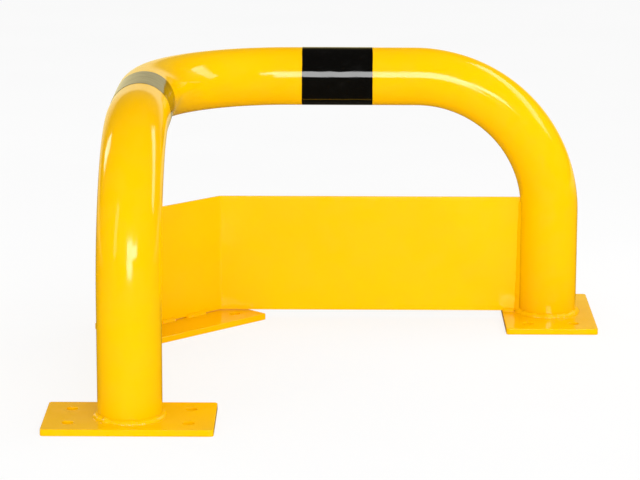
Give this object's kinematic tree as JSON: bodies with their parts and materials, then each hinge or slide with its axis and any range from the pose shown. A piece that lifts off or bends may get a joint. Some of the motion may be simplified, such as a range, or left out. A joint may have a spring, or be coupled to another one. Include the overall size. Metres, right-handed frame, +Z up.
{
  "type": "corner collision guard",
  "caption": "Low steel corner guard: bent tube hoop on two drilled base plates, with an angled underrun plate, a third base plate at the corner and black bands.",
  "frame": {"origin": "on the floor, at the middle of the outline in plan", "axes": "+Z up. The left arm runs along Y and the right arm along X. The corner of the L is at -X +Y, and the protected space opens towards +X -Y"},
  "size_m": [0.684, 0.684, 0.3643],
  "materials": {
    "yellow_coat": "glossy traffic-yellow powder coat on steel",
    "black_film": "glossy black self-adhesive film",
    "coated_weld": "weld bead under the same glossy yellow powder coat"
  },
  "bodies": {
    "root": {"hoop_tube": "yellow_coat", "underrun_plate": "yellow_coat", "left_base_plate": "yellow_coat", "right_base_plate": "yellow_coat", "corner_base_plate": "yellow_coat", "left_arm_black_band": "black_film", "right_arm_black_band": "black_film", "left_foot_weld": "coated_weld", "right_foot_weld": "coated_weld", "left_upright_welds": "coated_weld", "right_upright_welds": "coated_weld", "left_plate_stitch_weld": "coated_weld", "right_plate_stitch_weld": "coated_weld", "corner_plate_stitch_welds": "coated_weld"}
  },
  "joints": []
}
